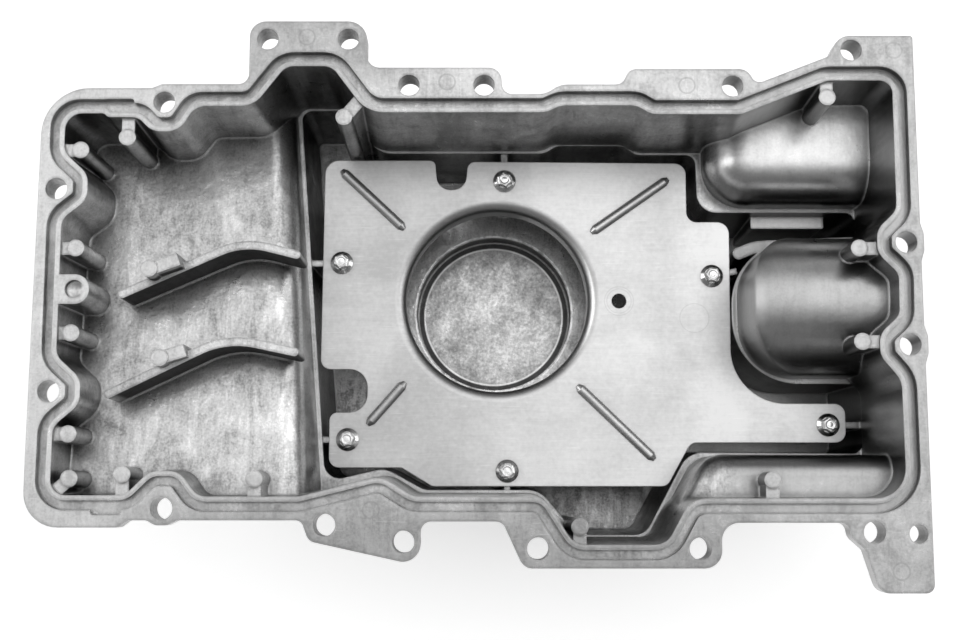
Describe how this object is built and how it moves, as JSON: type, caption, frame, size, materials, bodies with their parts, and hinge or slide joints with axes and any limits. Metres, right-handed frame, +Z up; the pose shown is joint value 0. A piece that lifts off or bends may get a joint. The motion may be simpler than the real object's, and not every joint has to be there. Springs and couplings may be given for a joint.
{
  "type": "engine oil pan",
  "caption": "Die-cast aluminium engine oil pan with gasket flange, shallow bay, deep sump, pick-up well, shaft dome, bolted sheet-steel windage tray and drain plug",
  "frame": {"origin": "under the middle of the pan's box, at the level of the foot that it stands on", "axes": "+X along the pan towards the end with the shaft dome, +Y towards the side with the two-bolt tab, +Z up, out of the pan's open side"},
  "size_m": [0.4074, 0.263, 0.144],
  "materials": {
    "cast_aluminium": "as-cast, mottled, with a machined gasket face",
    "tray_steel": "rolled sheet with a fine grain",
    "zinc_plated_steel": "bright zinc plate",
    "washer_aluminium": "soft, bright"
  },
  "bodies": {
    "root": {"pan_casting": "cast_aluminium", "windage_tray": "tray_steel", "tray_bolts": "zinc_plated_steel", "drain_plug": "zinc_plated_steel", "drain_washer": "washer_aluminium"}
  },
  "joints": []
}
